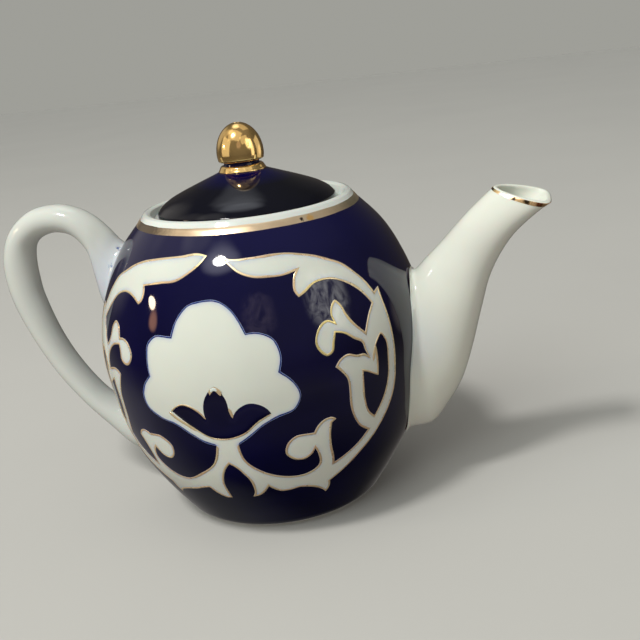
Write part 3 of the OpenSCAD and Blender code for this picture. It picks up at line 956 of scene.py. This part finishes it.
def make_knob():
    turned("knob_waist", WAIST, COBALT_LID, "lid", "cobalt_glaze", ["knob_neck"])
    turned("knob_ring", COLLAR, GOLD, "lid", "gilding", ["knob_collar"])
    outline = [Vector(p) for p in KNOB_BASE]
    start, end = -math.asin((KNOB_MID - KNOB_LOW - 0.4) / KNOB_DROP), math.acos(VENT_R / KNOB_R)
    for k in range(KNOB_STEPS + 1):
        a = mix(start, end - 0.05, k / KNOB_STEPS)
        height = KNOB_TOP - KNOB_MID if a > 0 else KNOB_DROP
        outline.append(Vector((KNOB_R * math.cos(a), KNOB_MID + height * math.sin(a))))
    outline += [Vector(p) for p in KNOB_VENT]
    solid("knob_acorn", revolved(outline, 128), GOLD, "lid", "gilding", ["knob"], sharp=35)


# ---------------------------------------------------------------- stage

FLOOR_HALF = 3.0  # metres
# Metres: the height that every light points at, the middle of the pot, and how far away the lights are
AIM_HEIGHT, LAMP_FAR, SUN_FAR, CARD_FAR = 0.06, 1.6, 2, 0.5


def make_floor():
    corners = [(x * FLOOR_HALF, y * FLOOR_HALF, 0) for x, y in ((-1, -1), (1, -1), (1, 1), (-1, 1))]
    mesh = bpy.data.meshes.new("floor")
    mesh.from_pydata(corners, [], [(0, 1, 2, 3)])
    floor = placed("floor", mesh)
    look = Look("floor_look", Roughness=0.8)
    look.to("Base Color", look.blend(look.noise(6, 5), (0.50, 0.50, 0.485), (0.54, 0.54, 0.52)))
    floor.data.materials.append(look.material)
    floor.visible_glossy = floor.visible_diffuse = False


def direction(azimuth, elevation):
    a, e = math.radians(azimuth), math.radians(elevation)
    return Vector((math.cos(e) * math.cos(a), math.cos(e) * math.sin(a), math.sin(e)))


def aimed(name, light, azimuth, elevation, distance):
    """Puts a light in a direction from the middle of the pot, shining at it."""
    obj = placed(name, light)
    way = direction(azimuth, elevation)
    obj.location = way * distance + Vector((0, 0, AIM_HEIGHT))
    obj.rotation_euler = way.to_track_quat("Z", "Y").to_euler()
    return obj


def area_light(name, shape, azimuth, elevation, distance, width, height, power, colour):
    light = bpy.data.lights.new(name, "AREA")
    light.shape, light.size, light.size_y = shape, width, height
    light.energy, light.color = power, colour
    return aimed(name, light, azimuth, elevation, distance)


def lamp(name, azimuth, elevation, width, height, power, colour):
    """Small oval lamp that shows as a highlight in the glaze."""
    area_light(name, "ELLIPSE", azimuth, elevation, LAMP_FAR, width, height, power, colour)


def soft_sun(name, azimuth, elevation, strength, spread, colour):
    """Soft daylight that shades the pot but isn't itself seen in the glaze."""
    light = bpy.data.lights.new(name, "SUN")
    light.energy, light.angle, light.color = strength, math.radians(spread), colour
    aimed(name, light, azimuth, elevation, SUN_FAR).visible_glossy = False


CARD_COLOUR = (1, 0.95, 0.86)


def gold_card(name, azimuth, elevation, width, height, glow, gilded):
    """Pale card near the knob that only its gold reflects."""
    power = glow * math.pi * width * height
    card = area_light(name, "RECTANGLE", azimuth, elevation, CARD_FAR, width, height, power, CARD_COLOUR)
    card.light_linking.receiver_collection = gilded


# The knob's cards: name, azimuth, elevation, width, height, brightness
GOLD_CARDS = [("gold_left", -150, 22, 0.42, 0.42, 0.62), ("gold_top", -105, 64, 0.50, 0.34, 0.50),
              ("gold_right", -10, 16, 0.14, 0.42, 1.2), ("gold_far_right", 32, 8, 0.30, 0.40, 0.50),
              ("gold_above", -40, 44, 0.30, 0.22, 0.45), ("gold_back", 80, 68, 0.40, 0.26, 0.35)]


def make_lights():
    lamp("ceiling_lamp", -117, 58.8, 0.24, 0.24, 12, (1, 0.97, 0.92))
    lamp("warm_lamp", -161, 18.4, 0.20, 0.11, 1.3, (1, 0.78, 0.55))
    soft_sun("daylight", -120, 40, 1.58, 52, (0.97, 1, 0.96))
    gilded = bpy.data.collections.new("gilded")
    for name in ("knob_acorn", "knob_ring"):
        gilded.objects.link(bpy.data.objects[name])
    for card in GOLD_CARDS:
        gold_card(*card, gilded)


# Colours of the room by the sine of the elevation, from straight down to straight up: as seen in the glaze,
# and as light on the whites
REFLECTED = [(-1, (0.020, 0.019, 0.018)), (-0.8, (0.035, 0.033, 0.030)), (-0.5, (0.135, 0.124, 0.114)),
             (-0.2, (0.055, 0.046, 0.040)), (0.15, (0.075, 0.068, 0.061)), (0.6, (0.075, 0.073, 0.072)),
             (1, (0.13, 0.13, 0.135))]
SHED = [(-1, (0.42, 0.38, 0.335)), (0, (0.35, 0.32, 0.29)), (1, (0.32, 0.32, 0.30))]
# Bright patches of the room, seen only in the glaze and the gold: azimuth, elevation and half width in
# degrees, then colour. The cluttered ones are broken up, like a window with things in front of it.
SOFT_PATCHES = [(-70, 48, 55, (0.075, 0.071, 0.071)), (-117, 58.8, 9, (1.5, 1.5, 1.7)),
                (121, 75, 9, (0.8, 0.83, 0.9)), (117, 66, 9, (0.45, 0.47, 0.50)),
                (115, 57, 8, (0.35, 0.36, 0.38)), (-169, 62, 9, (0.45, 0.44, 0.41)),
                (178, 44, 12, (0.30, 0.28, 0.25)), (152, 22, 16, (0.35, 0.33, 0.30)),
                (-158, 13, 3, (3.2, 1.5, 0.8)), (145, -45, 30, (0.10, 0.10, 0.10)),
                (36, -4, 8, (0.4, 0.35, 0.3))]
CLUTTERED_PATCHES = [(-23, 23, 12, (2.1, 2.1, 2.0)), (-76, 24, 9, (0.30, 0.24, 0.27))]
BACKGROUND = (0.3463, 0.3453, 0.3162)


def make_world():
    world = bpy.data.worlds.new("room")
    world.use_nodes = True
    bpy.context.scene.world = world
    room = Nodes(world.node_tree, "Generated")
    height = room.span(room.height(), -1, 1)

    def by_height(stops):
        return room.ramp(height, [((sine + 1) / 2, colour) for sine, colour in stops])

    # All patches have uneven edges, and clutter breaks some of them up
    cloud = room.noise(3.5, 4)
    clutter = room.span(room.noise(7, 6, 0.6, 1.5), 0.40, 0.62, 0.1, 1.3)
    seen = by_height(REFLECTED)
    for patch in SOFT_PATCHES + CLUTTERED_PATCHES:
        azimuth, elevation, half, colour = patch
        toward = room.vector_math("DOT_PRODUCT", direction(azimuth, elevation))
        wave = 0.7 * (1 - math.cos(math.radians(half)))
        uneven = room.math("MULTIPLY_ADD", cloud, wave, toward)
        fade = room.span(uneven, math.cos(math.radians(half * 1.5)), 1, easing="SMOOTHSTEP")
        if patch in CLUTTERED_PATCHES:
            colour = room.blend(1, colour, clutter, "MULTIPLY")
        seen = room.blend(fade, seen, colour, "ADD")
    rays = room.add("LightPath")
    source = room.blend(rays.outputs["Is Diffuse Ray"], seen, by_height(SHED))
    source = room.blend(rays.outputs["Is Camera Ray"], source, BACKGROUND)
    room.wire(source, room.tree.nodes["Background"], "Color")


# The camera's place around the pot and how it is turned, in degrees, as solved together with the size
CAMERA_TURN, CAMERA_YAW, CAMERA_PITCH, CAMERA_ROLL = 17, 3.73, 17.6, -6.8
CAMERA_BACK, CAMERA_HEIGHT = 320.19, 164.549
LENS, SENSOR = 50.59, 36


def make_camera():
    yaw, pitch, roll = (math.radians(a) for a in (CAMERA_YAW, CAMERA_PITCH, CAMERA_ROLL))
    ahead = Vector((math.sin(yaw) * math.cos(pitch), math.cos(yaw) * math.cos(pitch), -math.sin(pitch)))
    right = Vector((math.cos(yaw), -math.sin(yaw), 0))
    up = right.cross(ahead)
    right, up = right * math.cos(roll) + up * math.sin(roll), up * math.cos(roll) - right * math.sin(roll)
    turn = Matrix.Rotation(math.radians(CAMERA_TURN), 3, "Z")
    axes = Matrix((turn @ right, turn @ up, turn @ -ahead)).transposed().to_4x4()
    data = bpy.data.cameras.new("camera")
    data.lens, data.sensor_width = LENS, SENSOR
    camera = placed("camera", data)
    camera.matrix_world = Matrix.Translation(turn @ Vector((0, -CAMERA_BACK, CAMERA_HEIGHT)) * MM) @ axes
    bpy.context.scene.camera = camera
    bpy.context.scene.view_settings.view_transform = "Standard"


make_body()
ornament(0, "front")
ornament(180, "back")
make_spout()
make_spout_gilding()
make_handle()
make_mouth()
make_foot()
make_lid()
make_knob()
make_floor()
make_lights()
make_world()
make_camera()
